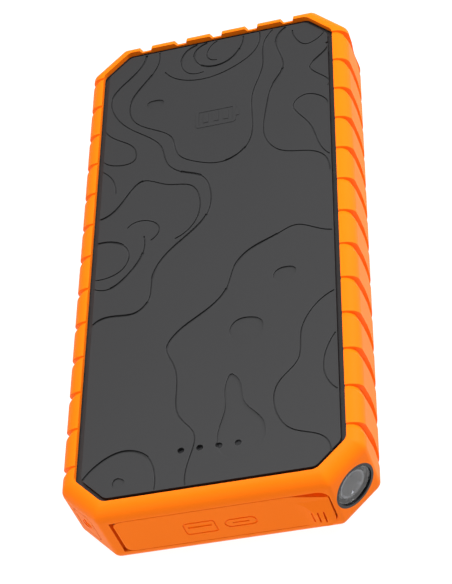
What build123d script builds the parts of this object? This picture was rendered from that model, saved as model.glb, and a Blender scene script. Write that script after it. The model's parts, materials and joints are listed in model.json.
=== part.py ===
"""Rugged power bank: rubber bumper, two-part case, two pouch cells, board, ports, torch, button and port flap.

The base rests on z = 0, the port face looks to -Y, the torch sits in the +X -Y corner and the button in the
-X -Y corner. Every piece is its own solid in its place in the assembly.
"""
import os
from math import cos, pi, radians, sin, sqrt, tan

from build123d import *

os.makedirs("parts", exist_ok=True)

# ---------------------------------------------------------------- driving dimensions (millimetres, +Z up)
# overall body
body_w = 78.4
body_l = 168.0
body_t = 22.5
corner_leg = 9.7
corner_round = 1.8
rim_r = 4.15

# bumper wall and lips
bumper_wall = 2.9
lip_t = 1.4
lip_reach_x = 4.2
lip_reach_y = 3.75
opening_leg = 7.7
opening_round = 3.0
foot_extra = 2.0

# side grooves and back notches
groove_pitch = 11.65
groove_shift = 1.6
groove_drift = 3.1
groove_depth = 1.3
groove_wall_run = 0.4
groove_ramp_run = 3.0
groove_over = 0.5
groove_lift = 0.8
groove_peak_z = 8.6
groove_margin = 12.0
notch_pitch = 10.95
notch_w = 3.3
notch_depth = 1.5
notch_run = 1.1
notch_margin = 4.0
notch_lift = 0.5

# hard case
case_wall = 1.8
case_floor = 1.6
case_edge_r = 2.0
part_z = 17.8
gasket_t = 0.5
cover_t = 1.6
tongue_t = 1.0
tongue_h = 1.4
strip_x = 1.6
strip_y = 1.45
plateau_leg = 6.5
plateau_h = 0.5
plateau_round = 2.4
channel_depth = 0.8
relief_depth = 0.4
relief_line = 0.4
relief_bold = 0.8
relief_bold_drop = 0.15
relief_ref_w = 66.8
relief_ref_l = 158.6
emblem_raise = 0.15
emblem_w = 12.0
emblem_h = 7.0
emblem_line = 0.9
emblem_from_back = 37.0
label_w = 40.0
label_l = 24.0
label_depth = 0.3

# fits and clearances
gap = 0.3
running_fit = 0.05
seat_fit = 0.02
flap_gap = 0.35
flap_gap_z = 0.2

# case screws
post_inset = 3.9
post_r = 2.2
shell_post_h = 3.2
case_screw_r = 1.0
case_screw_head_r = 1.8
case_screw_head_t = 1.2
case_screw_sink = 1.6
case_screw_len = 9.0
screw_front = 32.0
screw_back = 14.0
recess_r = 0.7
recess_t = 0.6

# main board and ports
board_t = 1.2
board_z = 7.0
board_side_room = 6.5
board_front_room = 0.8
board_back = 43.0
board_leg = 9.5
board_post_inset = 3.0
board_post_front = 22.0
board_post_back = 39.5
board_post_r = 1.8
board_screw_r = 0.8
board_screw_head_r = 1.5
board_screw_head_t = 0.9
board_screw_len = 3.0
port_a_w = 13.2
port_a_x = 0.0
port_a_space = 1.8
port_a_h = 5.7
port_a_len = 14.0
port_a_round = 0.5
port_a_skin = 0.35
port_a_tongue_w = 11.0
port_a_tongue_t = 1.8
port_c_w = 8.94
port_c_space = 3.43
port_c_h = 3.26
port_c_len = 7.4
port_c_skin = 0.3
port_c_tongue_w = 6.6
port_c_tongue_t = 0.7
port_sink = 1.4
sheet_t = 0.3

# cells
cell_side_room = 6.7
cell_front = 49.0
cell_back_room = 3.0
cell_t = 7.2
cell_pad_t = 0.4
cell_foam_t = 0.6
cell_edge_r = 1.6
cell_strip_w = 9.0
tab_w = 6.0
tab_t = 0.3
tab_len = 2.0
tab_x = 12.0
pack_board_w = 40.0
pack_board_h = 11.5
pack_board_t = 0.8
pack_board_gap = 3.0

# indicators
led_from_front = 16.0
led_pitch = 4.9
led_count = 4
led_hole_r = 0.9
led_w = 1.6
led_l = 1.0
led_h = 0.6
guide_recess = 0.9
guide_bar_t = 1.2
guide_bar_l = 3.0
indicator_z = 16.0
indicator_t = 0.8
indicator_w = 27.0
indicator_l = 5.6
peg_r = 0.8
peg_x = 11.5

# torch
torch_r = 6.35
torch_flange_r = 6.75
torch_flange_t = 0.7
torch_tube_r = 5.4
torch_bore_r = 4.1
torch_front_bore_r = 5.6
torch_depth = 8.6
lens_t = 1.2
lens_sink = 0.4
reflector_mouth_r = 3.9
reflector_throat_r = 1.6
reflector_depth = 4.6
reflector_wall = 0.45
torch_led_w = 2.4
torch_led_h = 1.0
torch_dome_r = 0.95
torch_board_t = 0.8
torch_wire_x1 = 1.2
torch_wire_x2 = 3.0

# button and its switch
button_w = 6.5
button_h = 9.8
button_round = 1.5
button_gap = 0.32
button_shift = -0.8
button_cap_t = 1.5
button_flange = 0.8
button_flange_t = 0.7
button_stem_r = 1.4
button_travel = 0.5
button_ring_r = 1.5
button_ring_line = 0.4
button_mark_t = 0.2
switch_w = 6.0
switch_t = 3.2
plunger_r = 1.2
plunger_out = 1.0
switch_board_w = 9.0
switch_board_h = 11.0
switch_board_t = 1.0
contact_gap = 0.05
switch_wire_x1 = -3.4
switch_wire_x2 = -2.0

# port flap
flap_left_in = 3.1
flap_right_in = 1.1
flap_low_z = 4.5
flap_high_z = 17.7
flap_t = 2.6
flap_round = 2.8
hinge_r = 0.75
hinge_pin_r = 0.35
hinge_pin_grip = 1.2
hinge_swing = 100.0
plug_depth = 1.3
pull_out = 1.05
pull_w = 9.0
pull_peak = 3.0
pull_h = 10.0
scoop_depth = 1.4
scoop_w = 9.2
scoop_flat = 0.9
scoop_drop = 2.2
grip_pitch = 1.5
grip_count = 3
grip_w = 0.4
grip_h = 4.1
grip_floor = 0.15
grip_from_right = 3.9
grip_z = 8.25
mark_line = 0.45
mark_depth = 0.25
mark_x = 5.2
mark_z = 10.4
mark_a_w = 8.4
mark_a_h = 5.2
mark_c_w = 8.4
mark_c_h = 3.6

# parts on the boards, spots given from the middle and from the front face
cell_pad_in = 2.6
fet_w = 5.0
fet_h = 4.0
fet_t = 1.0
fet_x = 12.0
coil_w = 8.0
coil_t = 4.0
coil_r = 1.2
coil_dish_r = 2.7
coil_places = ((-9.0, 27.5), (13.0, 29.5))
chip_t = 0.9
chip_places = ((2.0, 26.0, 6.0, 6.0), (3.0, 35.5, 5.0, 4.0), (-18.5, 31.5, 5.0, 6.0))
can_r = 3.15
can_h = 5.8
can_base_t = 0.6
can_base_r = 1.0
can_places = ((-13.5, 37.5), (-5.5, 37.5))
small_w = 1.6
small_l = 3.2
small_t = 1.3
small_pitch_x = 3.2
small_pitch_y = 5.1
small_block_x = 20.5
small_block_y = 31.0
small_row_pitch = 2.6
small_row_x = -18.5
small_row_y = 24.5
plug_w = 8.0
plug_l = 4.5
plug_h = 4.2
plug_x = 12.5
ribbon_w = 5.0
ribbon_t = 0.3
ribbon_x = -9.0
ribbon_bend = 1.2
ribbon_lap = 1.2

# wires
battery_wire_r = 0.7
wire_pitch = 3.2
wire_rise = 3.6
torch_wire_r = 0.4
switch_wire_r = 0.4
wire_drop = 0.6
wire_reach = 2.4

# ---------------------------------------------------------------- derived dimensions
root2 = sqrt(2)
half_w = body_w / 2
half_l = body_l / 2
mid_z = body_t / 2
front_y = -half_l
opening_w = body_w - 2 * lip_reach_x
opening_l = body_l - 2 * lip_reach_y
core_w = body_w - 2 * bumper_wall
core_l = body_l - 2 * bumper_wall
core_leg = corner_leg - bumper_wall * (2 - root2)
cavity_w = core_w - 2 * case_wall
cavity_l = core_l - 2 * case_wall
cavity_leg = core_leg - case_wall * (2 - root2)
core_front_y = -core_l / 2
cavity_front_y = -cavity_l / 2
core_low_z = lip_t
core_high_z = body_t - lip_t
floor_z = core_low_z + case_floor
ceiling_z = core_high_z - cover_t
tongue_w = cavity_w - 2 * gap
tongue_l = cavity_l - 2 * gap
tongue_leg = cavity_leg - gap * (2 - root2)
tongue_in_leg = tongue_leg - tongue_t * (2 - root2)
plateau_w = opening_w - 2 * strip_x
plateau_l = opening_l - 2 * strip_y
plateau_z = core_high_z + plateau_h
corner_mid_x = half_w - corner_leg / 2
corner_mid_y = -(half_l - corner_leg / 2)
groove_side_count = int((half_l - groove_margin) / groove_pitch)
groove_ys = [groove_shift + groove_pitch * k for k in range(-groove_side_count, groove_side_count + 1)]
notch_side_count = int((half_w - corner_leg - notch_margin) / notch_pitch)
notch_xs = [notch_pitch * k for k in range(-notch_side_count, notch_side_count + 1)]
screw_x = cavity_w / 2 - post_inset
screw_front_y = front_y + screw_front
screw_back_y = half_l - screw_back
screw_spots = [
    (side * screw_x, y)
    for y in (screw_front_y, (screw_front_y + screw_back_y) / 2, screw_back_y)
    for side in (-1, 1)
]
board_top_z = board_z + board_t
board_w = cavity_w - 2 * board_side_room
board_front_y = cavity_front_y + board_front_room
board_back_y = front_y + board_back
board_post_x = board_w / 2 - board_post_inset
board_post_ys = (front_y + board_post_front, front_y + board_post_back)
board_spots = [(side * board_post_x, y) for y in board_post_ys for side in (-1, 1)]
port_front_y = core_front_y + port_sink
port_a_xs = (port_a_x, port_a_x + port_a_w + port_a_space)
port_c_xs = (port_a_x - port_a_w / 2 - port_c_space - port_c_w / 2,)
port_a_z = board_top_z + port_a_h / 2
port_c_z = board_top_z + port_c_h / 2
cell_w = cavity_w - 2 * cell_side_room
cell_front_y = front_y + cell_front
cell_back_y = cavity_l / 2 - cell_back_room
cell_l = cell_back_y - cell_front_y
cell_mid_y = (cell_front_y + cell_back_y) / 2
lower_cell_z = floor_z + cell_pad_t
upper_cell_z = lower_cell_z + cell_t + cell_foam_t
cell_top_z = upper_cell_z + cell_t
led_y = front_y + led_from_front
led_xs = [(index - (led_count - 1) / 2) * led_pitch for index in range(led_count)]
flap_left_x = -(half_w - corner_leg - flap_left_in)
flap_right_x = half_w - corner_leg - flap_right_in
flap_w = flap_right_x - flap_left_x
flap_h = flap_high_z - flap_low_z
flap_mid_x = (flap_left_x + flap_right_x) / 2
flap_mid_z = (flap_low_z + flap_high_z) / 2
hinge_x = flap_left_x + hinge_r
hinge_y = front_y + hinge_r
# the flap's front corner beside the hinge swings this far round the axis while it is inside the window
hinge_sweep = hinge_r * tan(radians(hinge_swing) / 2)
hinge_room_r = sqrt(hinge_r**2 + hinge_sweep**2) + gap
corner_left = max(flap_round - hinge_r - hinge_sweep, 0)
hinge_room_h = flap_h - 2 * (flap_round - sqrt(flap_round**2 - corner_left**2)) + 2 * flap_gap_z
switch_face = bumper_wall + case_wall + gap + plunger_out
switch_back = switch_face + switch_t
button_stem_end = switch_face - plunger_out - contact_gap

# planes that look out of the front faces; local X runs along the face, local Y is up
torch_plane = Plane(origin=(corner_mid_x, corner_mid_y, mid_z), x_dir=(1, 1, 0), z_dir=(1, -1, 0))
button_plane = Plane(
    origin=(
        -corner_mid_x + button_shift / root2,
        corner_mid_y - button_shift / root2,
        mid_z,
    ),
    x_dir=(1, -1, 0),
    z_dir=(-1, -1, 0),
)
front_plane = Plane(origin=(0, front_y, 0), x_dir=(1, 0, 0), z_dir=(0, -1, 0))


# ---------------------------------------------------------------- shared helpers
def octagon(width, length, leg, z=0.0, edge_round=0.0):
    """Rectangle with cut corners, lying at height z."""
    with BuildSketch() as outline:
        Rectangle(width, length)
        chamfer(outline.vertices(), leg)
        if edge_round > 0:
            fillet(outline.vertices(), edge_round)
    return outline.sketch.moved(Location((0, 0, z)))


def rounded_ring(width, height, corner_r, line):
    """Line drawing of a rounded rectangle."""
    with BuildSketch() as outline:
        RectangleRounded(width, height, corner_r)
        RectangleRounded(width - 2 * line, height - 2 * line, corner_r - line, mode=Mode.SUBTRACT)
    return outline.sketch


def disc(plane, depth, radius, length):
    """Round bar that starts a depth behind a face and runs further inward."""
    with BuildPart() as bar:
        with BuildSketch(plane.offset(-depth)):
            Circle(radius)
        extrude(amount=-length)
    return bar.part


def block(plane, depth, width, height, corner_r, length):
    """Rounded block that starts a depth behind a face and runs further inward."""
    with BuildPart() as bar:
        with BuildSketch(plane.offset(-depth)):
            RectangleRounded(width, height, corner_r)
        extrude(amount=-length)
    return bar.part


def wire_along(points, leave, arrive, radius):
    """Round insulated wire through a run of points, square to what it leaves and what it reaches."""
    with BuildPart() as strand:
        with BuildLine() as path:
            Spline(*points, tangents=(leave, arrive))
        with BuildSketch(Plane(origin=path.line @ 0, z_dir=path.line % 0)):
            Circle(radius)
        sweep()
    return strand.part


def finish(builder, label):
    """Name a piece and write its file."""
    builder.part.label = label
    export_step(builder.part, f"parts/{label}.step")


def case_form(grow):
    """Outer form of the hard case, grown by a fit."""
    with BuildPart() as form:
        extrude(
            octagon(core_w + 2 * grow, core_l + 2 * grow, core_leg, core_low_z - grow),
            amount=core_high_z - core_low_z + 2 * grow,
        )
        fillet(form.faces().sort_by(Axis.Z)[-1].edges(), case_edge_r)
        fillet(form.faces().sort_by(Axis.Z)[0].edges(), case_edge_r)
    return form.part


# ---------------------------------------------------------------- bumper
def smooth(share):
    """Ease in and out between 0 and 1."""
    return share * share * (3 - 2 * share)


def groove_half(side_z, steps=4):
    """Half of a groove's run: from the inner lip over the round to its furthest point on the side."""
    centre_x = half_w - rim_r
    arc_run = rim_r * pi / 2
    whole_run = arc_run + side_z
    points = [(centre_x - rim_r, 0, body_t + groove_lift)]
    for step in range(steps + 1):
        share = step / steps
        angle = pi / 2 * (1 - share)
        reach = rim_r + groove_lift * (1 - smooth(share))
        points.append(
            (
                centre_x + reach * cos(angle),
                groove_drift * smooth(share * arc_run / whole_run),
                body_t - rim_r + reach * sin(angle),
            )
        )
    middle_share = (arc_run + side_z / 2) / whole_run
    points.append((half_w, groove_drift * smooth(middle_share), body_t - rim_r - side_z / 2))
    return points


def groove_cutter():
    """Sawtooth groove that follows lip, upper round, side, lower round and lower lip in one sweep."""
    points = groove_half(body_t - rim_r - groove_peak_z)
    points.append((half_w, groove_drift, groove_peak_z))
    points += [(x, y, body_t - z) for x, y, z in reversed(groove_half(groove_peak_z - rim_r))]
    with BuildLine() as path:
        Spline(*points)
    with BuildLine() as guide:
        Spline(*[(x, y + groove_over, z) for x, y, z in points])
    with BuildPart() as cutter:
        with BuildSketch(Plane(origin=points[0], x_dir=(0, 1, 0), z_dir=(1, 0, 0))):
            with BuildLine():
                Polyline(
                    (-groove_ramp_run, 0),
                    (0, -groove_depth),
                    (groove_wall_run, 0),
                    (groove_wall_run, groove_over),
                    (-groove_ramp_run, groove_over),
                    close=True,
                )
            make_face()
        sweep(path=path.wire(), binormal=guide.edge())
    return cutter.part


def rim_run(lift, steps=4):
    """Run over the upper round seen from the end: from inside the lip, a lift above it, to the side face."""
    run = [(-rim_r, rim_r + lift)]
    for step in range(steps + 1):
        share = step / steps
        angle = pi / 2 * (1 - share)
        reach = rim_r + lift * (1 - smooth(share))
        run.append((reach * cos(angle), reach * sin(angle)))
    return run


def notch_cutter():
    """Notch round the back edge from lip to lip, steep on one flank and sloped on the other."""
    points = [(0, half_l - rim_r + out, body_t - rim_r + height) for out, height in rim_run(notch_lift)]
    points.append((0, half_l, mid_z))
    points += [(x, y, body_t - z) for x, y, z in reversed(points[:-1])]
    with BuildLine() as path:
        Spline(*points)
    with BuildLine() as guide:
        Spline(*[(x + groove_over, y, z) for x, y, z in points])
    with BuildPart() as cutter:
        with BuildSketch(Plane(origin=points[0], x_dir=(1, 0, 0), z_dir=(0, 1, 0))):
            with BuildLine():
                Polyline(
                    (-notch_w / 2 - notch_run, -groove_over),
                    (-notch_w / 2 - notch_run, 0),
                    (-notch_w / 2, notch_depth),
                    (notch_w / 2 - notch_run / 2, notch_depth),
                    (notch_w / 2, 0),
                    (notch_w / 2, -groove_over),
                    close=True,
                )
            make_face()
        sweep(path=path.wire(), binormal=guide.edge())
    return cutter.part


with BuildPart() as bumper:
    extrude(octagon(body_w, body_l, corner_leg, 0, corner_round), amount=body_t)
    fillet(bumper.faces().sort_by(Axis.Z)[-1].edges(), rim_r)
    fillet(bumper.faces().sort_by(Axis.Z)[0].edges(), rim_r)
    # grooves on the long sides, notches on the back
    groove_form = groove_cutter()
    side_cutters = [groove_form.moved(Location((0, y, 0))) for y in groove_ys]
    side_cutters += [cutter.mirror(Plane.YZ) for cutter in side_cutters]
    add(side_cutters, mode=Mode.SUBTRACT)
    notch_form = notch_cutter()
    add([notch_form.moved(Location((x, 0, 0))) for x in notch_xs], mode=Mode.SUBTRACT)
    # seat for the case and the two openings
    add(case_form(seat_fit), mode=Mode.SUBTRACT)
    extrude(
        octagon(opening_w, opening_l, opening_leg, core_high_z - case_edge_r, opening_round),
        amount=lip_t + 2 * case_edge_r,
        mode=Mode.SUBTRACT,
    )
    extrude(
        octagon(
            opening_w - 2 * foot_extra,
            opening_l - 2 * foot_extra,
            opening_leg,
            core_low_z + case_edge_r,
            opening_round,
        ),
        amount=-lip_t - 2 * case_edge_r,
        mode=Mode.SUBTRACT,
    )
    # window for the port flap and bores for its hinge pin
    with BuildSketch(front_plane):
        with Locations((flap_mid_x, flap_mid_z)):
            RectangleRounded(flap_w + 2 * flap_gap, flap_h + 2 * flap_gap_z, flap_round + flap_gap_z)
    extrude(amount=-bumper_wall - gap, mode=Mode.SUBTRACT)
    with Locations((hinge_x, hinge_y, flap_mid_z)):
        Cylinder(hinge_pin_r + running_fit, flap_h + 2 * hinge_pin_grip + 2 * gap, mode=Mode.SUBTRACT)
        Cylinder(hinge_room_r, hinge_room_h, mode=Mode.SUBTRACT)
    # torch: through bore and a seat for the flange
    add(disc(torch_plane, -gap, torch_r + seat_fit, bumper_wall + 2 * gap), mode=Mode.SUBTRACT)
    add(
        disc(
            torch_plane,
            bumper_wall - torch_flange_t - seat_fit,
            torch_flange_r + seat_fit,
            torch_flange_t + gap,
        ),
        mode=Mode.SUBTRACT,
    )
    # button: window and a room for the flange behind it
    add(
        block(
            button_plane,
            -gap,
            button_w + 2 * button_gap,
            button_h + 2 * button_gap,
            button_round + button_gap,
            bumper_wall + 2 * gap,
        ),
        mode=Mode.SUBTRACT,
    )
    add(
        block(
            button_plane,
            button_cap_t - contact_gap,
            button_w + 2 * button_flange + 2 * gap,
            button_h + 2 * button_flange + 2 * gap,
            button_round + button_flange,
            bumper_wall,
        ),
        mode=Mode.SUBTRACT,
    )
finish(bumper, "bumper")

# ---------------------------------------------------------------- lower case
with BuildPart() as lower_case:
    add(case_form(0))
    with BuildSketch(Plane.XY.offset(part_z)):
        Rectangle(body_w, body_l)
    extrude(amount=body_t, mode=Mode.SUBTRACT)
    extrude(octagon(cavity_w, cavity_l, cavity_leg, floor_z), amount=body_t, mode=Mode.SUBTRACT)
    # posts for the case screws and the main board
    with BuildSketch(Plane.XY.offset(core_low_z + case_floor / 2)):
        with Locations(*screw_spots):
            Circle(post_r)
    extrude(amount=case_floor / 2 + shell_post_h)
    with BuildSketch(Plane.XY.offset(core_low_z + case_floor / 2)):
        with Locations(*board_spots):
            Circle(board_post_r)
    extrude(amount=board_z - core_low_z - case_floor / 2)
    # screw holes, heads sunk from below
    with BuildSketch(Plane.XY):
        with Locations(*screw_spots):
            Circle(case_screw_r + gap)
    extrude(amount=floor_z + shell_post_h + gap, mode=Mode.SUBTRACT)
    with BuildSketch(Plane.XY):
        with Locations(*screw_spots):
            Circle(case_screw_head_r + gap)
    extrude(amount=core_low_z + case_screw_sink, mode=Mode.SUBTRACT)
    with BuildSketch(Plane.XY.offset(board_z)):
        with Locations(*board_spots):
            Circle(board_screw_r + seat_fit)
    extrude(amount=-board_screw_len, mode=Mode.SUBTRACT)
    # port openings
    with BuildSketch(front_plane):
        with Locations(*[(x, port_a_z) for x in port_a_xs]):
            RectangleRounded(port_a_w + 2 * gap, port_a_h + 2 * gap, port_a_round + gap)
        with Locations(*[(x, port_c_z) for x in port_c_xs]):
            RectangleRounded(port_c_w + 2 * gap, port_c_h + 2 * gap, port_c_h / 2)
    extrude(amount=-bumper_wall - case_wall - gap, mode=Mode.SUBTRACT)
    # torch hole and button stem hole
    add(disc(torch_plane, bumper_wall - gap, torch_tube_r + gap, torch_depth), mode=Mode.SUBTRACT)
    add(disc(button_plane, bumper_wall - gap, button_stem_r + gap, case_wall + 2 * gap), mode=Mode.SUBTRACT)
    # plain label recess underneath
    with BuildSketch(Plane.XY.offset(core_low_z)):
        RectangleRounded(label_w, label_l, case_edge_r)
    extrude(amount=label_depth, mode=Mode.SUBTRACT)
finish(lower_case, "lower_case")

# ---------------------------------------------------------------- gasket and top cover
with BuildPart() as case_gasket:
    extrude(octagon(core_w, core_l, core_leg, part_z), amount=gasket_t)
    extrude(octagon(cavity_w, cavity_l, cavity_leg, part_z), amount=gasket_t, mode=Mode.SUBTRACT)
finish(case_gasket, "case_gasket")

# contour lines of the relief, drawn for the reference plateau and scaled to the real one
relief_lines = [
    [(33, -4), (28, -2), (23, 0), (18, -2), (10, -6), (6, -11), (4, -18), (-1, -24), (-10, -31), (-12, -35),
     (-10, -41), (-9, -50), (-8, -58), (-4, -64), (-5, -71), (-6, -79)],
    [(-20, 6), (-20, 0), (-24, -7), (-29, -11), (-34, -10)],
    [(-34, 6), (-30, 6), (-26, 4), (-24, 0), (-26, -5), (-30, -7), (-34, -7)],
    [(33, -25), (27, -30), (24, -37), (23, -46), (18, -52), (17, -60), (21, -67), (28, -70), (31, -76)],
    [(33, -39), (30, -46), (30, -52), (33, -57)],
    [(-33, -73), (-28, -68), (-22, -66), (-16, -69), (-14, -74), (-14, -79)],
    [(-22, 79), (-26, 71), (-32, 63), (-31, 56), (-26, 49), (-20, 44), (-16, 39), (-14, 32), (-10, 28), (-4, 25),
     (-1, 18), (-2, 10), (-8, 3), (-14, -3), (-17, -10), (-18, -18), (-21, -21), (-28, -21), (-34, -24)],
    [(-18, 79), (-20, 70), (-26, 60), (-25, 52), (-19, 47), (-13, 42), (-11, 35), (-6, 31), (3, 29), (9, 33),
     (11, 42), (11, 54), (14, 65), (14, 72), (17, 79)],
    [(21, 79), (18, 73), (20, 62), (17, 56), (15, 47), (15, 34), (19, 29), (26, 27), (33, 18)],
    [(13, 79), (11, 71), (6, 67), (-3, 64), (-12, 66), (-16, 70)],
    [(-6, 79), (-11, 73), (-10, 69), (-4, 67)],
    [(-3, 79), (-7, 74), (-5, 70), (2, 69), (7, 74), (8, 79)],
    [(0, 79), (-3, 75), (-3, 73), (0, 71)],
    [(33, 69), (29, 62), (28, 60), (29, 58), (33, 51)],
    [(33, 75), (30, 71), (27, 70), (24, 73), (23, 77)],
    [(33, 44), (30, 48), (26, 49), (23, 46), (25, 41), (28, 36), (30, 29), (33, 24)],
    [(-34, 52), (-29, 45), (-24, 40), (-24, 36), (-29, 35), (-34, 39)],
    [(-34, 34), (-30, 29), (-29, 24)],
    [(-34, 15), (-27, 20), (-21, 27), (-14, 24), (-7, 22), (-4, 15), (-6, 7), (-11, 3)],
    [(-25, 10), (-18, 11), (-16, 9), (-18, 4)],
]
# stretches of those lines that are cut wider and deeper: line, first and last of its points
relief_bold_runs = [
    (0, 3, 5), (0, 6, 9), (1, 1, 3), (2, 0, 2), (5, 0, 3), (6, 0, 2), (6, 8, 9), (6, 11, 14), (6, 15, 18),
    (7, 1, 2), (7, 8, 9), (8, 0, 1), (8, 2, 3), (10, 0, 1), (11, 0, 1), (11, 2, 4), (13, 0, 1), (18, 0, 2),
]
relief_pools = [
    [(20, -14), (23, -16), (21, -19), (17, -18)],
    [(10, -29), (14, -33), (10, -38), (5, -34)],
    [(6, -47), (8, -50), (9, -56), (14, -63), (12, -72), (4, -72), (2, -66), (4, -57), (4, -50)],
    [(-19, 59), (-16, 57), (-18, 55), (-21, 57)],
    [(-23, -74), (-22, -76), (-24, -77), (-25, -76)],
]


def relief_point(point):
    """Scale a relief point from the reference plateau to the real one."""
    return (point[0] * plateau_w / relief_ref_w, point[1] * plateau_l / relief_ref_l)


def relief_curve(points):
    """Smooth contour line through its points."""
    with BuildLine() as curve:
        Spline(*[relief_point(point) for point in points])
    return curve.edge()


def relief_ribbon(curve, width, depth):
    """Cutter of one width that follows a contour line at a depth below the plateau."""
    with BuildPart() as ribbon:
        with BuildSketch(Plane.XY.offset(plateau_z)):
            with BuildLine():
                add(curve)
            trace(line_width=width)
        extrude(amount=-depth)
    return ribbon.part


def relief_bold_ribbon(line, first, last):
    """Wider and deeper cutter over the stretch between two points of a contour line."""
    curve = relief_curve(relief_lines[line])
    start, end = [curve.param_at_point(relief_point(relief_lines[line][index])) for index in (first, last)]
    return relief_ribbon(curve.trim(start, end), relief_bold, relief_depth + relief_bold_drop)


with BuildPart() as top_cover:
    add(case_form(0))
    with BuildSketch(Plane.XY.offset(part_z + gasket_t)):
        Rectangle(body_w, body_l)
    extrude(amount=-body_t, mode=Mode.SUBTRACT)
    extrude(octagon(cavity_w, cavity_l, cavity_leg, ceiling_z), amount=-body_t, mode=Mode.SUBTRACT)
    # raised plateau
    extrude(octagon(plateau_w, plateau_l, plateau_leg, ceiling_z, plateau_round), amount=plateau_z - ceiling_z)
    # channel round the plateau
    with BuildSketch(Plane.XY.offset(core_high_z)):
        add(octagon(opening_w, opening_l, opening_leg, 0, opening_round))
        add(octagon(plateau_w, plateau_l, plateau_leg, 0, plateau_round), mode=Mode.SUBTRACT)
    extrude(amount=-channel_depth, mode=Mode.SUBTRACT)
    # tongue that reaches into the lower case
    with BuildSketch(Plane.XY.offset(ceiling_z)):
        add(octagon(tongue_w, tongue_l, tongue_leg))
        add(octagon(tongue_w - 2 * tongue_t, tongue_l - 2 * tongue_t, tongue_in_leg), mode=Mode.SUBTRACT)
    extrude(amount=part_z - tongue_h - ceiling_z)
    add(disc(torch_plane, bumper_wall - gap, torch_tube_r + gap, torch_depth), mode=Mode.SUBTRACT)
    # posts down to the lower case, indicator pegs
    with BuildSketch(Plane.XY.offset(ceiling_z)):
        with Locations(*screw_spots):
            Circle(post_r)
    extrude(amount=floor_z + shell_post_h - ceiling_z)
    with BuildSketch(Plane.XY.offset(ceiling_z)):
        with Locations((-peg_x, led_y), (peg_x, led_y)):
            Circle(peg_r)
    extrude(amount=indicator_z - gap - ceiling_z)
    with BuildSketch(Plane.XY.offset(floor_z + shell_post_h)):
        with Locations(*screw_spots):
            Circle(case_screw_r + seat_fit)
    extrude(amount=case_screw_len, mode=Mode.SUBTRACT)
    # indicator holes
    with BuildSketch(Plane.XY.offset(plateau_z)):
        with Locations(*[(x, led_y) for x in led_xs]):
            Circle(led_hole_r)
    extrude(amount=ceiling_z - plateau_z, mode=Mode.SUBTRACT)
    # relief: engraved contour lines and shallow pools
    relief_cutters = [relief_ribbon(relief_curve(points), relief_line, relief_depth) for points in relief_lines]
    add(relief_cutters, mode=Mode.SUBTRACT)
    add([relief_bold_ribbon(*run) for run in relief_bold_runs], mode=Mode.SUBTRACT)
    for pool_points in relief_pools:
        with BuildSketch(Plane.XY.offset(plateau_z)):
            with BuildLine():
                Spline(*[relief_point(point) for point in pool_points], periodic=True)
            make_face()
        extrude(amount=-relief_depth, mode=Mode.SUBTRACT)
    # plain emblem: a battery outline with two bars
    with BuildSketch(Plane((0, half_l - emblem_from_back, plateau_z))):
        add(rounded_ring(emblem_w, emblem_h, emblem_line + emblem_raise, emblem_line))
        with Locations((emblem_w / 2 + emblem_line / 2, 0)):
            Rectangle(emblem_line, emblem_h / 3)
        with GridLocations(emblem_w / 4, 0, 3, 1):
            Rectangle(emblem_w / 8, emblem_h / 2)
    extrude(amount=emblem_raise)
finish(top_cover, "top_cover")

# ---------------------------------------------------------------- case screws
def screw(spots, head_z, head_r, head_t, shank_r, length, upward):
    """Pan-head screws with a cross recess, driven up or down from the underside of the head."""
    sense = 1 if upward else -1
    with BuildPart() as bolts:
        with BuildSketch(Plane.XY.offset(head_z)):
            with Locations(*spots):
                Circle(head_r)
        extrude(amount=-sense * head_t)
        with BuildSketch(Plane.XY.offset(head_z)):
            with Locations(*spots):
                Circle(shank_r)
        extrude(amount=sense * length)
        with BuildSketch(Plane.XY.offset(head_z - sense * head_t)):
            with Locations(*spots):
                Rectangle(2 * recess_r, recess_r / 2)
                Rectangle(recess_r / 2, 2 * recess_r)
        extrude(amount=sense * recess_t, mode=Mode.SUBTRACT)
    return bolts.part


with BuildPart() as case_screws:
    add(
        screw(
            screw_spots,
            core_low_z + case_screw_sink,
            case_screw_head_r,
            case_screw_head_t,
            case_screw_r,
            case_screw_len,
            True,
        )
    )
finish(case_screws, "case_screws")

# ---------------------------------------------------------------- cells
def pouch(low_z):
    """Pouch cell with rounded sides and a thin sealed strip at the front."""
    with BuildPart() as pack:
        with BuildSketch(Plane.XY.offset(low_z)):
            with Locations((0, cell_mid_y)):
                RectangleRounded(cell_w, cell_l, cell_edge_r)
        extrude(amount=cell_t)
        fillet(pack.edges().filter_by(Plane.XY), cell_edge_r)
    return pack.part


def tabs(low_z):
    """Pair of nickel tabs from a cell to the pack board."""
    with BuildPart() as strips:
        with BuildSketch(Plane.XY.offset(low_z + cell_t / 2)):
            with Locations((-tab_x, cell_front_y - tab_len / 2), (tab_x, cell_front_y - tab_len / 2)):
                Rectangle(tab_w, tab_len)
        extrude(amount=tab_t)
    return strips.part


with BuildPart() as lower_cell:
    add(pouch(lower_cell_z))
finish(lower_cell, "lower_cell")

with BuildPart() as upper_cell:
    add(pouch(upper_cell_z))
finish(upper_cell, "upper_cell")

with BuildPart() as cell_tabs:
    add(tabs(lower_cell_z))
    add(tabs(upper_cell_z))
finish(cell_tabs, "cell_tabs")

pad_w = cell_w - 2 * cell_pad_in
pad_l = cell_l - 2 * cell_pad_in
with BuildPart() as cell_pad:
    with BuildSketch(Plane.XY.offset(floor_z)):
        with Locations((0, cell_mid_y)):
            RectangleRounded(pad_w, pad_l, cell_edge_r)
    extrude(amount=cell_pad_t)
finish(cell_pad, "cell_pad")

with BuildPart() as cell_foam:
    with BuildSketch(Plane.XY.offset(lower_cell_z + cell_t)):
        with Locations((0, cell_mid_y)):
            RectangleRounded(pad_w, pad_l, cell_edge_r)
    extrude(amount=cell_foam_t)
finish(cell_foam, "cell_foam")

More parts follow.
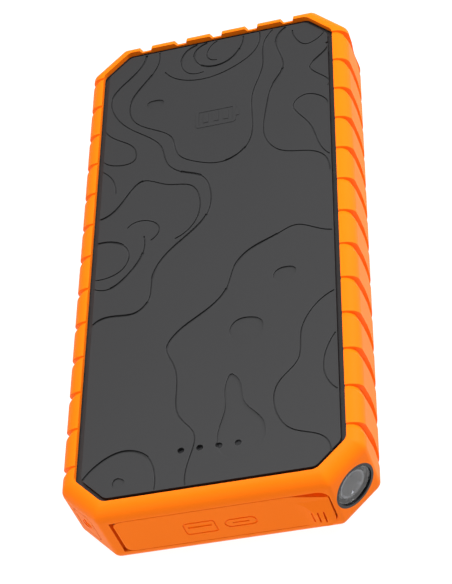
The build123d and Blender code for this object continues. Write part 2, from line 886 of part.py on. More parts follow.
with BuildPart() as top_foam:
    with BuildSketch(Plane.XY.offset(cell_top_z)):
        with Locations((0, cell_mid_y)):
            RectangleRounded(pad_w, pad_l, cell_edge_r)
    extrude(amount=ceiling_z - cell_top_z)
finish(top_foam, "top_foam")

pack_board_y = cell_front_y - tab_len
pack_board_z = (lower_cell_z + cell_top_z) / 2
pack_plane = Plane(origin=(0, pack_board_y, pack_board_z), x_dir=(1, 0, 0), z_dir=(0, -1, 0))
with BuildPart() as pack_board:
    with BuildSketch(pack_plane):
        Rectangle(pack_board_w, pack_board_h)
    extrude(amount=pack_board_t)
finish(pack_board, "pack_board")

with BuildPart() as pack_switches:
    with BuildSketch(pack_plane.offset(pack_board_t)):
        with Locations((-fet_x, 0), (fet_x, 0)):
            Rectangle(fet_w, fet_h)
    extrude(amount=fet_t)
finish(pack_switches, "pack_switches")

# ---------------------------------------------------------------- main board
with BuildPart() as main_board:
    with BuildSketch(Plane.XY.offset(board_z)) as board_outline:
        with Locations((0, (board_front_y + board_back_y) / 2)):
            Rectangle(board_w, board_back_y - board_front_y)
        chamfer(board_outline.vertices().group_by(Axis.Y)[0], board_leg)
        with Locations(*board_spots):
            Circle(board_screw_r + seat_fit, mode=Mode.SUBTRACT)
    extrude(amount=board_t)
finish(main_board, "main_board")

with BuildPart() as board_screws:
    add(
        screw(
            board_spots,
            board_top_z,
            board_screw_head_r,
            board_screw_head_t,
            board_screw_r,
            board_t + board_screw_len - gap,
            False,
        )
    )
finish(board_screws, "board_screws")


def shell_row(xs, width, height, corner_r, skin, length, mid_height):
    """Folded metal port shells, open at the front and closed at the back."""
    with BuildPart() as shells:
        with BuildSketch(Plane(origin=(0, port_front_y, mid_height), x_dir=(1, 0, 0), z_dir=(0, -1, 0))):
            with Locations(*[(x, 0) for x in xs]):
                RectangleRounded(width, height, corner_r)
        extrude(amount=-length)
        with BuildSketch(Plane(origin=(0, port_front_y, mid_height), x_dir=(1, 0, 0), z_dir=(0, -1, 0))):
            with Locations(*[(x, 0) for x in xs]):
                RectangleRounded(width - 2 * skin, height - 2 * skin, corner_r - skin)
        extrude(amount=-length + skin, mode=Mode.SUBTRACT)
    return shells.part


def tongue_row(xs, width, thick, skin, length, inset, mid_height, base_w, base_h):
    """Contact tongues, each on a block at the back of its shell."""
    back_y = port_front_y + length - skin
    with BuildPart() as tongues:
        with BuildSketch(Plane(origin=(0, back_y, mid_height), x_dir=(1, 0, 0), z_dir=(0, -1, 0))):
            with Locations(*[(x, 0) for x in xs]):
                Rectangle(base_w, base_h)
        extrude(amount=length / 4)
        with BuildSketch(Plane(origin=(0, back_y, mid_height), x_dir=(1, 0, 0), z_dir=(0, -1, 0))):
            with Locations(*[(x, 0) for x in xs]):
                Rectangle(width, thick)
        extrude(amount=length - skin - inset)
    return tongues.part


with BuildPart() as wide_port_shells:
    add(shell_row(port_a_xs, port_a_w, port_a_h, port_a_round, port_a_skin, port_a_len, port_a_z))
finish(wide_port_shells, "wide_port_shells")

with BuildPart() as wide_port_tongues:
    add(
        tongue_row(
            port_a_xs,
            port_a_tongue_w,
            port_a_tongue_t,
            port_a_skin,
            port_a_len,
            gap + port_a_skin,
            port_a_z + port_a_tongue_t / 2,
            port_a_tongue_w,
            port_a_tongue_t + gap,
        )
    )
finish(wide_port_tongues, "wide_port_tongues")

with BuildPart() as slim_port_shell:
    add(shell_row(port_c_xs, port_c_w, port_c_h, port_c_h / 2 - contact_gap, port_c_skin, port_c_len, port_c_z))
finish(slim_port_shell, "slim_port_shell")

with BuildPart() as slim_port_tongue:
    add(
        tongue_row(
            port_c_xs,
            port_c_tongue_w,
            port_c_tongue_t,
            port_c_skin,
            port_c_len,
            gap + port_c_skin,
            port_c_z,
            port_c_tongue_w,
            port_c_tongue_t * 2,
        )
    )
finish(slim_port_tongue, "slim_port_tongue")

# parts on the main board
coil_spots = [(x, front_y + y) for x, y in coil_places]
with BuildPart() as power_coils:
    with BuildSketch(Plane.XY.offset(board_top_z)):
        with Locations(*coil_spots):
            RectangleRounded(coil_w, coil_w, coil_r)
    extrude(amount=coil_t)
    with BuildSketch(Plane.XY.offset(board_top_z + coil_t)):
        with Locations(*coil_spots):
            Circle(coil_dish_r)
    extrude(amount=-label_depth, mode=Mode.SUBTRACT)
finish(power_coils, "power_coils")

with BuildPart() as control_chips:
    with BuildSketch(Plane.XY.offset(board_top_z)):
        for chip_x, chip_y, chip_w, chip_l in chip_places:
            with Locations((chip_x, front_y + chip_y)):
                Rectangle(chip_w, chip_l)
    extrude(amount=chip_t)
finish(control_chips, "control_chips")

can_spots = [(x, front_y + y) for x, y in can_places]
with BuildPart() as can_capacitors:
    with BuildSketch(Plane.XY.offset(board_top_z)):
        with Locations(*can_spots):
            RectangleRounded(2 * can_r, 2 * can_r, can_base_r)
    extrude(amount=can_base_t)
    with BuildSketch(Plane.XY.offset(board_top_z)):
        with Locations(*can_spots):
            Circle(can_r)
    extrude(amount=can_h)
    fillet(can_capacitors.faces().group_by(Axis.Z)[-1].edges(), gap)
finish(can_capacitors, "can_capacitors")

with BuildPart() as chip_capacitors:
    with BuildSketch(Plane.XY.offset(board_top_z)):
        with Locations((small_block_x, front_y + small_block_y)):
            with GridLocations(small_pitch_x, small_pitch_y, 2, 2):
                Rectangle(small_w, small_l)
        with Locations((small_row_x, front_y + small_row_y)):
            with GridLocations(small_row_pitch, 0, 3, 1):
                Rectangle(small_w, small_l)
    extrude(amount=small_t)
finish(chip_capacitors, "chip_capacitors")

plug_y = board_back_y - plug_l / 2 - gap
with BuildPart() as battery_socket:
    with BuildSketch(Plane.XY.offset(board_top_z)):
        with Locations((plug_x, plug_y)):
            Rectangle(plug_w, plug_l)
    extrude(amount=plug_h)
finish(battery_socket, "battery_socket")


def battery_wire(shift):
    """Wire from the pack board up and over into the battery socket."""
    wire_x = plug_x + shift
    return wire_along(
        [
            (wire_x, pack_board_y - pack_board_t, pack_board_z + wire_rise),
            (wire_x, (pack_board_y - pack_board_t + plug_y) / 2, pack_board_z + 2 * wire_rise - gap),
            (wire_x, plug_y, board_top_z + plug_h),
        ],
        (0, -1, 0),
        (0, 0, -1),
        battery_wire_r,
    )


with BuildPart() as battery_wire_plus:
    add(battery_wire(wire_pitch / 2))
finish(battery_wire_plus, "battery_wire_plus")

with BuildPart() as battery_wire_minus:
    add(battery_wire(-wire_pitch / 2))
finish(battery_wire_minus, "battery_wire_minus")

with BuildPart() as floor_sheet:
    with BuildSketch(Plane.XY.offset(floor_z)) as sheet_outline:
        with Locations((0, (board_front_y + board_back_y) / 2)):
            Rectangle(board_w, board_back_y - board_front_y)
        chamfer(sheet_outline.vertices().group_by(Axis.Y)[0], board_leg)
        with Locations(*board_spots):
            Circle(board_post_r + gap, mode=Mode.SUBTRACT)
        with Locations(*screw_spots):
            Circle(post_r + gap, mode=Mode.SUBTRACT)
    extrude(amount=sheet_t)
finish(floor_sheet, "floor_sheet")

# ---------------------------------------------------------------- charge indicators
with BuildPart() as indicator_board:
    with BuildSketch(Plane.XY.offset(indicator_z)):
        with Locations((0, led_y)):
            RectangleRounded(indicator_w, indicator_l, gap)
        with Locations((-peg_x, led_y), (peg_x, led_y)):
            Circle(peg_r + seat_fit, mode=Mode.SUBTRACT)
    extrude(amount=indicator_t)
finish(indicator_board, "indicator_board")

with BuildPart() as indicator_leds:
    with BuildSketch(Plane.XY.offset(indicator_z + indicator_t)):
        with Locations(*[(x, led_y) for x in led_xs]):
            Rectangle(led_w, led_l)
    extrude(amount=led_h)
finish(indicator_leds, "indicator_leds")

with BuildPart() as light_guide:
    with BuildSketch(Plane.XY.offset(ceiling_z)):
        with Locations((0, led_y)):
            RectangleRounded((led_count - 1) * led_pitch + 4 * led_hole_r, guide_bar_l, gap)
    extrude(amount=-guide_bar_t)
    with BuildSketch(Plane.XY.offset(ceiling_z)):
        with Locations(*[(x, led_y) for x in led_xs]):
            Circle(led_hole_r - seat_fit)
    extrude(amount=plateau_z - guide_recess - ceiling_z)
finish(light_guide, "light_guide")

ribbon_back_y = led_y + indicator_l / 2
ribbon_z = indicator_z - ribbon_t / 2
with BuildPart() as indicator_ribbon:
    with BuildLine() as ribbon_path:
        FilletPolyline(
            (ribbon_x, ribbon_back_y - ribbon_lap, ribbon_z),
            (ribbon_x, ribbon_back_y + ribbon_bend, ribbon_z),
            (ribbon_x, ribbon_back_y + ribbon_bend, board_top_z),
            radius=ribbon_bend,
        )
    with BuildSketch(Plane(origin=ribbon_path.line @ 0, x_dir=(1, 0, 0), z_dir=ribbon_path.line % 0)):
        Rectangle(ribbon_w, ribbon_t)
    sweep()
finish(indicator_ribbon, "indicator_ribbon")

# ---------------------------------------------------------------- torch
with BuildPart() as torch_housing:
    add(disc(torch_plane, 0, torch_r, bumper_wall))
    add(disc(torch_plane, bumper_wall - torch_flange_t, torch_flange_r, torch_flange_t - seat_fit))
    add(disc(torch_plane, 0, torch_tube_r, torch_depth))
    add(disc(torch_plane, 0, torch_front_bore_r, lens_sink + lens_t), mode=Mode.SUBTRACT)
    add(disc(torch_plane, 0, torch_bore_r, torch_depth), mode=Mode.SUBTRACT)
finish(torch_housing, "torch_housing")

with BuildPart() as torch_lens:
    add(disc(torch_plane, lens_sink, torch_front_bore_r - seat_fit, lens_t))
    fillet(torch_lens.edges().filter_by(GeomType.CIRCLE), gap / 2)
finish(torch_lens, "torch_lens")

reflector_front = lens_sink + lens_t + gap / 2
with BuildPart() as torch_reflector:
    with BuildSketch(Plane.XZ) as reflector_half:
        with BuildLine():
            Polyline(
                (reflector_mouth_r - reflector_wall, -reflector_front),
                (reflector_throat_r, -reflector_front - reflector_depth),
                (reflector_throat_r + reflector_wall, -reflector_front - reflector_depth),
                (reflector_mouth_r, -reflector_front - reflector_wall),
                (torch_bore_r - seat_fit, -reflector_front - reflector_wall),
                (torch_bore_r - seat_fit, -reflector_front),
                close=True,
            )
        make_face()
    revolve(axis=Axis.Z)
torch_reflector.part = torch_reflector.part.moved(torch_plane.location)
finish(torch_reflector, "torch_reflector")

led_face = reflector_front + reflector_depth
with BuildPart() as torch_led:
    add(block(torch_plane, led_face + gap / 2, torch_led_w, torch_led_w, gap, torch_led_h))
    with BuildPart(mode=Mode.PRIVATE) as dome:
        with Locations(torch_plane.offset(-led_face - gap / 2)):
            Sphere(torch_dome_r)
    add(dome.part)
finish(torch_led, "torch_led")

with BuildPart() as torch_board:
    add(disc(torch_plane, led_face + gap / 2 + torch_led_h, torch_bore_r - seat_fit, torch_board_t))
finish(torch_board, "torch_board")

torch_back = led_face + gap / 2 + torch_led_h + torch_board_t


def torch_wire(along):
    """Wire from the back of the torch board down to the main board."""
    start = torch_plane.from_local_coords(Vector(along, -wire_drop, -torch_back))
    end = torch_plane.from_local_coords(Vector(along, board_top_z - mid_z, -torch_back - wire_reach))
    return wire_along([start, end], -torch_plane.z_dir, (0, 0, -1), torch_wire_r)


with BuildPart() as torch_wires:
    add(torch_wire(torch_wire_x1))
    add(torch_wire(torch_wire_x2))
finish(torch_wires, "torch_wires")

# ---------------------------------------------------------------- power button and switch
with BuildPart() as power_button:
    add(block(button_plane, 0, button_w, button_h, button_round, button_cap_t + button_flange_t))
    add(
        block(
            button_plane,
            button_cap_t,
            button_w + 2 * button_flange,
            button_h + 2 * button_flange,
            button_round + button_flange,
            button_flange_t,
        )
    )
    add(disc(button_plane, button_cap_t, button_stem_r, button_stem_end - button_cap_t))
    with BuildSketch(button_plane):
        Circle(button_ring_r)
        Circle(button_ring_r - button_ring_line, mode=Mode.SUBTRACT)
        with Locations((0, button_ring_r)):
            Rectangle(button_ring_line * 3, button_ring_r, mode=Mode.SUBTRACT)
            Rectangle(button_ring_line, button_ring_r)
    extrude(amount=button_mark_t)
finish(power_button, "power_button")

with BuildPart() as switch_plunger:
    add(disc(button_plane, switch_face - plunger_out, plunger_r, plunger_out + switch_t / 2 - button_travel - gap))
finish(switch_plunger, "switch_plunger")

with BuildPart() as switch_body:
    add(block(button_plane, switch_face, switch_w, switch_w, gap, switch_t))
    add(disc(button_plane, switch_face, plunger_r + running_fit, switch_t / 2), mode=Mode.SUBTRACT)
finish(switch_body, "switch_body")

with BuildPart() as switch_board:
    add(block(button_plane, switch_back, switch_board_w, switch_board_h, gap, switch_board_t))
finish(switch_board, "switch_board")

switch_board_back = switch_back + switch_board_t


def switch_wire(along):
    """Wire from the back of the switch board down to the main board."""
    start = button_plane.from_local_coords(Vector(along, 0, -switch_board_back))
    end = button_plane.from_local_coords(Vector(along, board_top_z - mid_z, -switch_board_back - wire_reach))
    return wire_along([start, end], -button_plane.z_dir, (0, 0, -1), switch_wire_r)


with BuildPart() as switch_wires:
    add(switch_wire(switch_wire_x1))
    add(switch_wire(switch_wire_x2))
finish(switch_wires, "switch_wires")

# ---------------------------------------------------------------- port flap
with BuildPart() as port_flap:
    with BuildSketch(front_plane):
        with Locations((flap_mid_x, flap_mid_z)):
            RectangleRounded(flap_w, flap_h, flap_round)
    extrude(amount=-flap_t)
    # round the front edge beside the hinge
    with BuildPart(mode=Mode.PRIVATE) as hinge_room:
        with Locations((flap_left_x + hinge_r / 2, front_y + hinge_r / 2, flap_mid_z)):
            Box(hinge_r, hinge_r, 2 * flap_h)
        with Locations((hinge_x, hinge_y, flap_mid_z)):
            Cylinder(hinge_r, 2 * flap_h, mode=Mode.SUBTRACT)
    add(hinge_room.part, mode=Mode.SUBTRACT)
    # plugs that close the ports
    with BuildSketch(front_plane.offset(-flap_t)):
        with Locations(*[(x, port_a_z) for x in port_a_xs]):
            RectangleRounded(port_a_w, port_a_h, port_a_round)
        with Locations(*[(x, port_c_z) for x in port_c_xs]):
            RectangleRounded(port_c_w, port_c_h, port_c_h / 2 - contact_gap)
    extrude(amount=-plug_depth)
    # relief behind the free end, so it swings clear of the torch
    add(disc(torch_plane, -flap_t, torch_flange_r + gap, 4 * flap_t), mode=Mode.SUBTRACT)
    # pull flare at the free end, thickest low down, and the finger scoop above it
    with BuildPart(mode=Mode.PRIVATE) as pull:
        with BuildSketch(Plane.XY.offset(flap_low_z)):
            with BuildLine():
                Spline(
                    (flap_right_x - pull_w, front_y),
                    (flap_right_x - pull_peak, front_y - pull_out),
                    (flap_right_x, front_y - pull_out / 2),
                    tangents=((1, 0), (1, 1)),
                )
                Line((flap_right_x, front_y - pull_out / 2), (flap_right_x, front_y + gap))
                Line((flap_right_x, front_y + gap), (flap_right_x - pull_w, front_y + gap))
                Line((flap_right_x - pull_w, front_y + gap), (flap_right_x - pull_w, front_y))
            make_face()
        extrude(amount=pull_h)
        with BuildSketch(Plane.YZ.offset(flap_right_x - pull_w)):
            with BuildLine():
                Polyline(
                    (front_y - pull_out - gap, flap_low_z + flap_round / 2),
                    (front_y, flap_low_z + pull_h),
                    (front_y - 2 * pull_out, flap_low_z + pull_h),
                    close=True,
                )
            make_face()
        extrude(amount=pull_w, mode=Mode.SUBTRACT)
        with BuildSketch(front_plane):
            with Locations((flap_mid_x, flap_mid_z)):
                RectangleRounded(flap_w, flap_h, flap_round)
        extrude(amount=2 * pull_out, both=True, mode=Mode.INTERSECT)
    add(pull.part)
    with BuildSketch(front_plane):
        with BuildLine():
            Polyline(
                (flap_right_x - scoop_w, flap_high_z),
                (flap_right_x - scoop_flat, flap_high_z - scoop_drop),
                (flap_right_x + gap, flap_high_z - scoop_drop),
                (flap_right_x + gap, flap_high_z + gap),
                (flap_right_x - scoop_w, flap_high_z + gap),
                close=True,
            )
        make_face()
    extrude(amount=-scoop_depth, mode=Mode.SUBTRACT)
    # grip lines and plain port outlines
    with BuildSketch(front_plane.offset(grip_floor)):
        with Locations((flap_right_x - grip_from_right, grip_z)):
            with GridLocations(grip_pitch, 0, grip_count, 1):
                Rectangle(grip_w, grip_h)
    extrude(amount=pull_out, mode=Mode.SUBTRACT)
    with BuildSketch(front_plane):
        with Locations((-mark_x, mark_z)):
            add(rounded_ring(mark_a_w, mark_a_h, port_a_round + mark_line, mark_line))
            with Locations((0, mark_a_h / 8)):
                Rectangle(mark_a_w - 5 * mark_line, 2 * mark_line)
        with Locations((mark_x, mark_z)):
            add(rounded_ring(mark_c_w, mark_c_h, mark_c_h / 2 - contact_gap, mark_line))
            Rectangle(mark_c_w / 2, mark_line)
    extrude(amount=-mark_depth, mode=Mode.SUBTRACT)
    # bore for the hinge pin
    with Locations((hinge_x, hinge_y, flap_mid_z)):
        Cylinder(hinge_pin_r, 2 * flap_h, mode=Mode.SUBTRACT)
finish(port_flap, "port_flap")

with BuildPart() as flap_pin:
    with Locations((hinge_x, hinge_y, flap_mid_z)):
        Cylinder(hinge_pin_r, flap_h + 2 * hinge_pin_grip)
finish(flap_pin, "flap_pin")
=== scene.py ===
# %% [markdown]
# # A rugged power bank
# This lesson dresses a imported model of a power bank: an orange rubber bumper around a black
# two-part case, a port flap, a torch in one corner and a button in the other. The shapes come
# from the engineering model, so the work here is light, finishes and the small fittings that
# engineering leaves out.

import json

import bpy
from mathutils import Matrix, Vector


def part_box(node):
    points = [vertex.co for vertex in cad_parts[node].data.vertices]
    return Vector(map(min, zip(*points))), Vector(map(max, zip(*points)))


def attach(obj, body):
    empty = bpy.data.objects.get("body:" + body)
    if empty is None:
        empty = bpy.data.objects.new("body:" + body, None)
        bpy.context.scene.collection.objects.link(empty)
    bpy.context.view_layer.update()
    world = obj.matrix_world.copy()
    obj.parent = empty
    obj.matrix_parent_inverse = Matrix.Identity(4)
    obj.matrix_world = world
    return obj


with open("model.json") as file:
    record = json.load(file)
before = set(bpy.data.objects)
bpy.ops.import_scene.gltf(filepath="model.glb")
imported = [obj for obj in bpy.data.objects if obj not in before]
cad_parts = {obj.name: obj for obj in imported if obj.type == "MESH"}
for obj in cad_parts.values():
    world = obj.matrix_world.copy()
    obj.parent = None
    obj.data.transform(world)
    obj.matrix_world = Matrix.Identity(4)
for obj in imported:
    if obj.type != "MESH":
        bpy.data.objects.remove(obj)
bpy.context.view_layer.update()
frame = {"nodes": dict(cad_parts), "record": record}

# %% [markdown]
# ## Camera
# A long lens keeps the sides of a small product nearly parallel. The camera stands in front and
# to the right, well above the table, and is rolled a little so the pack leans across the frame.

# %% Camera
camera_data = bpy.data.cameras.new("camera")
camera_data.lens = 116.5  # millimetres, on a 36 mm wide sensor
camera_data.sensor_width = 36.0
camera_data.clip_start = 0.01
camera_data.clip_end = 20.0
camera = bpy.data.objects.new("camera", camera_data)
bpy.context.scene.collection.objects.link(camera)
camera_place = Vector((0.11408, -0.33733, 0.38954))
look = Vector((-0.22114, 0.63780, -0.73777)).normalized()
right = Vector((0.96045, 0.01118, -0.27822)).normalized()
up = right.cross(look).normalized()
camera.matrix_world = Matrix(
    (
        (right.x, up.x, -look.x, camera_place.x),
        (right.y, up.y, -look.y, camera_place.y),
        (right.z, up.z, -look.z, camera_place.z),
        (0, 0, 0, 1),
    )
)
bpy.context.scene.camera = camera
print("camera lens", camera_data.lens, "mm")

# %% [markdown]
# ## Floor and light
# A white light table and three soft lamps: a large one overhead, a long one behind on the right
# that draws the bright line along the bumper's rounded edge, and a weak one in front. The floor
# glows a little, so it stays white right up to the bumper and takes no orange tint from it. The
# standard view transform keeps the orange as strong as it is in the moulding.


# %% Helpers for colour and for clearing the selection
def linear(red, green, blue):
    """Turn a colour as a paint chart gives it, 0 to 255, into the numbers that shaders use."""
    values = []
    for channel in (red, green, blue):
        share = channel / 255
        values.append(share / 12.92 if share <= 0.04045 else ((share + 0.055) / 1.055) ** 2.4)
    return (*values, 1.0)


def clear_selection():
    """Leave edit mode and select nothing."""
    if bpy.context.mode != "OBJECT":
        bpy.ops.object.mode_set(mode="OBJECT")
    bpy.ops.object.select_all(action="DESELECT")


# %% Floor
floor_size = 6.0
floor_grey = 0.14
floor_glow = 0.95
clear_selection()
bpy.ops.mesh.primitive_plane_add(size=floor_size, location=(0, 0, 0))
floor = bpy.context.object
floor.name = "floor"
floor_material = bpy.data.materials.new("pale floor")
floor_material.use_nodes = True
floor_shader = floor_material.node_tree.nodes["Principled BSDF"]
floor_shader.inputs["Base Color"].default_value = (floor_grey, floor_grey, floor_grey, 1)
floor_shader.inputs["Roughness"].default_value = 0.95
floor_shader.inputs["Specular IOR Level"].default_value = 0.0
floor_shader.inputs["Emission Color"].default_value = (1, 1, 1, 1)
floor_shader.inputs["Emission Strength"].default_value = floor_glow
floor.data.materials.append(floor_material)
print("floor ready")


# %% Lamps and surroundings
def soft_lamp(name, place, aim, width, height, power):
    """Rectangular soft lamp that looks from a place to a point."""
    data = bpy.data.lights.new(name, "AREA")
    data.shape = "RECTANGLE"
    data.size = width
    data.size_y = height
    data.energy = power
    lamp = bpy.data.objects.new(name, data)
    bpy.context.scene.collection.objects.link(lamp)
    lamp.location = place
    lamp.rotation_euler = (Vector(aim) - Vector(place)).to_track_quat("-Z", "Y").to_euler()
    return lamp


soft_lamp("overhead", (-0.05, 0.1, 0.9), (0, 0, 0), 0.6, 0.5, 6.2)
soft_lamp("back right", (0.62, 0.3, 0.62), (0, 0, 0.01), 0.16, 0.9, 9.5)
soft_lamp("front left", (-0.5, -0.8, 0.5), (0, 0, 0.01), 0.5, 0.4, 2.4)
sky_light = 0.3
world = bpy.data.worlds.new("studio")
bpy.context.scene.world = world
world.use_nodes = True
world.node_tree.nodes["Background"].inputs["Color"].default_value = (1, 1, 1, 1)
world.node_tree.nodes["Background"].inputs["Strength"].default_value = sky_light
bpy.context.scene.view_settings.view_transform = "Standard"
bpy.context.scene.view_settings.look = "None"

# %% [markdown]
# ## Effects shared by many finishes
# Moulded rubber and plastic copy the spark-eroded skin of their mould, and hands and tables
# polish or scuff them. Each effect is built once as a node group and then placed in a material
# with its own values.


# %% A helper that starts a node group
def start_group(name, numbers, outputs):
    """New shader node group with number inputs (name, value) and outputs (name, socket type)."""
    tree = bpy.data.node_groups.new(name, "ShaderNodeTree")
    for label, value in numbers:
        socket = tree.interface.new_socket(label, in_out="INPUT", socket_type="NodeSocketFloat")
        socket.default_value = value
    for label, kind in outputs:
        tree.interface.new_socket(label, in_out="OUTPUT", socket_type=kind)
    entry = tree.nodes.new("NodeGroupInput")
    leave = tree.nodes.new("NodeGroupOutput")
    return tree, entry, leave


def maths(tree, operation, first, second):
    """Math node whose two inputs are sockets or numbers; gives its output socket."""
    node = tree.nodes.new("ShaderNodeMath")
    node.operation = operation
    for index, value in enumerate((first, second)):
        if isinstance(value, (int, float)):
            node.inputs[index].default_value = value
        else:
            tree.links.new(value, node.inputs[index])
    return node.outputs[0]


def noise(tree, scale, detail=3.0, rough=0.5):
    """Noise on the object's own coordinates; scale is a socket or a number."""
    place = tree.nodes.new("ShaderNodeTexCoord")
    texture = tree.nodes.new("ShaderNodeTexNoise")
    texture.inputs["Detail"].default_value = detail
    texture.inputs["Roughness"].default_value = rough
    tree.links.new(place.outputs["Object"], texture.inputs["Vector"])
    if isinstance(scale, (int, float)):
        texture.inputs["Scale"].default_value = scale
    else:
        tree.links.new(scale, texture.inputs["Scale"])
    return texture.outputs["Fac"]


def smooth_range(tree, value, low, high):
    """Map Range node that turns low..high into 0..1 and holds the ends."""
    node = tree.nodes.new("ShaderNodeMapRange")
    node.interpolation_type = "SMOOTHSTEP"
    tree.links.new(value, node.inputs["Value"])
    node.inputs["From Min"].default_value = low
    node.inputs["From Max"].default_value = high
    return node.outputs["Result"]


# %% Moulded grain
grain_group, grain_in, grain_out = start_group(
    "moulded grain", [("Scale", 2600.0)], [("Height", "NodeSocketFloat")]
)
fine_grain = noise(grain_group, grain_in.outputs["Scale"], 2.0, 0.6)
broad_grain = noise(grain_group, maths(grain_group, "MULTIPLY", grain_in.outputs["Scale"], 0.21), 2.0, 0.5)
grain_height = maths(grain_group, "ADD", maths(grain_group, "MULTIPLY", fine_grain, 0.7),
                     maths(grain_group, "MULTIPLY", broad_grain, 0.3))
grain_group.links.new(grain_height, grain_out.inputs["Height"])
print("group", grain_group.name)

# %% Edge wear
wear_group, wear_in, wear_out = start_group(
    "edge wear", [("Amount", 0.5)], [("Mask", "NodeSocketFloat")]
)
geometry = wear_group.nodes.new("ShaderNodeNewGeometry")
rounding = wear_group.nodes.new("ShaderNodeBevel")
edge_reach = 0.0006
rounding.samples = 4
rounding.inputs["Radius"].default_value = edge_reach
edge_dot = wear_group.nodes.new("ShaderNodeVectorMath")
edge_dot.operation = "DOT_PRODUCT"
wear_group.links.new(rounding.outputs["Normal"], edge_dot.inputs[0])
wear_group.links.new(geometry.outputs["Normal"], edge_dot.inputs[1])
edge_turn = maths(wear_group, "SUBTRACT", 1.0, edge_dot.outputs["Value"])
edge_mask = smooth_range(wear_group, edge_turn, 0.01, 0.16)
patches = smooth_range(wear_group, noise(wear_group, 140.0, 4.0, 0.65), 0.42, 0.68)
worn_patches = maths(wear_group, "MULTIPLY", edge_mask, patches)
wear_mask = maths(wear_group, "MULTIPLY", worn_patches, wear_in.outputs["Amount"])
wear_group.links.new(wear_mask, wear_out.inputs["Mask"])
print("group", wear_group.name)

# %% Handling marks
marks_group, marks_in, marks_out = start_group(
    "handling marks", [("Amount", 0.5)], [("Gloss", "NodeSocketFloat"), ("Tone", "NodeSocketFloat")]
)
smudge = smooth_range(marks_group, noise(marks_group, 38.0, 4.0, 0.6), 0.35, 0.7)
cloud = noise(marks_group, 16.0, 3.0, 0.5)
for pattern, output in ((smudge, "Gloss"), (cloud, "Tone")):
    scaled_pattern = maths(marks_group, "MULTIPLY", pattern, marks_in.outputs["Amount"])
    marks_group.links.new(scaled_pattern, marks_out.inputs[output])
print("group", marks_group.name)

# %% [markdown]
# ## Finishes
# One function lays down a moulded or metal finish: a base colour that drifts slightly, a lighter
# worn colour on edges, roughness that changes with handling, and the grain as a fine bump. Every
# finish then calls it with its own values.


# %% The finish builder
def place_group(tree, group, label, value):
    """Put a node group in a material and set its one number."""
    node = tree.nodes.new("ShaderNodeGroup")
    node.node_tree = group
    node.inputs[label].default_value = value
    return node


def mix_colour(tree, factor, first, second):
    """Mix two colours by a factor socket; each colour is a socket or four numbers."""
    node = tree.nodes.new("ShaderNodeMix")
    node.data_type = "RGBA"
    tree.links.new(factor, node.inputs["Factor"])
    for socket, value in ((node.inputs[6], first), (node.inputs[7], second)):
        if isinstance(value, tuple):
            socket.default_value = value
        else:
            tree.links.new(value, socket)
    return node.outputs[2]


def finish(name, colour, shade, worn, rough, rough_drift=0.1, metallic=0.0, grain=2600.0, bump=0.05,
           bump_size=0.00004, wear=0.4, marks=0.5, specular=0.5, coat=0.0):
    """Material with drifting colour, worn edges, handling marks and a fine grain."""
    material = bpy.data.materials.new(name)
    material.use_nodes = True
    tree = material.node_tree
    shader = tree.nodes["Principled BSDF"]
    grain_node = place_group(tree, grain_group, "Scale", grain)
    wear_node = place_group(tree, wear_group, "Amount", wear)
    marks_node = place_group(tree, marks_group, "Amount", marks)
    drift = mix_colour(tree, marks_node.outputs["Tone"], colour, shade)
    tree.links.new(mix_colour(tree, wear_node.outputs["Mask"], drift, worn), shader.inputs["Base Color"])
    roughness = maths(tree, "ADD", maths(tree, "MULTIPLY", marks_node.outputs["Gloss"], -rough_drift), rough)
    roughness = maths(tree, "ADD", roughness, maths(tree, "MULTIPLY", wear_node.outputs["Mask"], 0.1))
    tree.links.new(roughness, shader.inputs["Roughness"])
    relief = tree.nodes.new("ShaderNodeBump")
    relief.inputs["Strength"].default_value = bump
    relief.inputs["Distance"].default_value = bump_size
    tree.links.new(grain_node.outputs["Height"], relief.inputs["Height"])
    tree.links.new(relief.outputs["Normal"], shader.inputs["Normal"])
    shader.inputs["Metallic"].default_value = metallic
    shader.inputs["Specular IOR Level"].default_value = specular
    shader.inputs["Coat Weight"].default_value = coat
    print("finish", name)
    return material


# %% Outer finishes
finishes = {}
finishes["orange_rubber"] = finish(
    "orange rubber", linear(255, 122, 14), linear(252, 112, 10), linear(255, 146, 62), 0.46, 0.06,
    grain=3200.0, bump=0.2, wear=0.2, marks=0.5, specular=0.04,
)
finishes["black_case"] = finish(
    "black textured case", linear(44, 44, 45), linear(38, 38, 39), linear(74, 74, 76), 0.55, 0.05,
    grain=4200.0, bump=0.25, wear=0.3, marks=0.4, specular=0.3,
)
finishes["seal_rubber"] = finish(
    "seal rubber", linear(34, 34, 35), linear(28, 28, 28), linear(60, 60, 60), 0.7, wear=0.1
)
finishes["steel_zinc"] = finish(
    "zinc plated steel", linear(196, 197, 200), linear(176, 178, 184), linear(226, 226, 228), 0.32, 0.12,
    metallic=1.0, grain=5200.0, bump=0.08, wear=0.6,
)
finishes["pin_black"] = finish(
    "blackened steel", linear(52, 52, 55), linear(42, 42, 45), linear(96, 96, 99), 0.4, 0.1,
    metallic=1.0, grain=5200.0,
)
finishes["torch_black"] = finish(
    "torch ring black", linear(24, 25, 27), linear(18, 19, 21), linear(58, 58, 61), 0.4, 0.1,
    grain=5200.0, bump=0.1, wear=0.3, specular=0.3,
)
# Painted dark reflection: the plated cone is given a dark grey metal colour that stands in for the dark
# surroundings it mirrors.
finishes["reflector_chrome"] = finish(
    "plated reflector with painted dark reflection", linear(74, 75, 79), linear(58, 59, 64), linear(150, 150, 153), 0.12, 0.04,
    metallic=1.0, grain=900.0, bump=0.12, wear=0.1,
)
# Painted shade: the light guides are given a near-black colour so the LED holes above them look dark, as
# shade in a deep hole does.
finishes["smoked_guide"] = finish(
    "light guide with painted hole shade", linear(36, 36, 38), linear(28, 28, 30), linear(70, 70, 72), 0.22, 0.05,
    grain=1800.0, bump=0.05, wear=0.1, coat=0.4,
)


